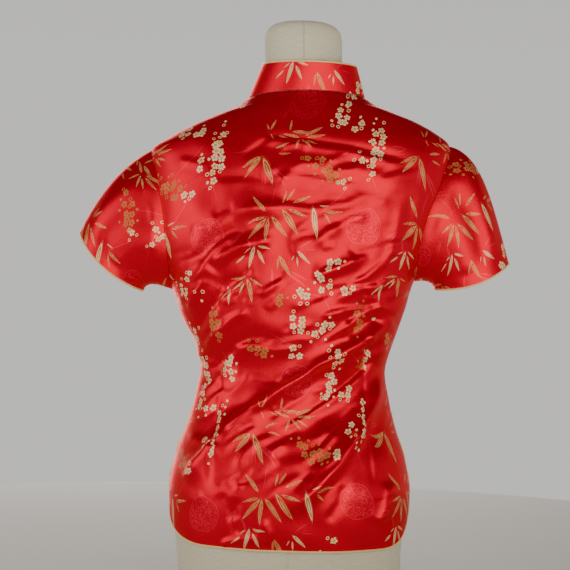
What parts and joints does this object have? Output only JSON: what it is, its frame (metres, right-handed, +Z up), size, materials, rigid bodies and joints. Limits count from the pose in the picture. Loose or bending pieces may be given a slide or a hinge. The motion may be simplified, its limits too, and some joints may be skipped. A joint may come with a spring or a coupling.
{
  "type": "short-sleeved cheongsam blouse on a dress form",
  "caption": "Fitted brocade satin blouse with a stand collar, short set-in sleeves, a slanted front opening and side slits, worn on a limbless linen dress form.",
  "frame": {"origin": "middle of the dress form's flat base", "axes": "+Z up along the form, the wearer faces -Y and the wearer's left is +X"},
  "size_m": [0.5714, 0.2433, 0.799],
  "materials": {
    "red_brocade": "red satin with woven gold leaves and blossom",
    "gold_satin": "pale gold satin bias strip",
    "linen": "undyed plain linen cover"
  },
  "bodies": {
    "root": {"dress_form": "linen", "back": "red_brocade", "main_front": "red_brocade", "small_right_front": "red_brocade", "collar": "red_brocade", "sleeve_left": "red_brocade", "sleeve_right": "red_brocade", "piping_back_hem": "gold_satin", "piping_front_hem": "gold_satin", "piping_opening": "gold_satin", "piping_collar": "gold_satin", "piping_sleeve_left": "gold_satin", "piping_sleeve_right": "gold_satin", "closure_neck": "gold_satin", "closure_chest": "gold_satin", "closure_underarm": "gold_satin"}
  },
  "joints": []
}
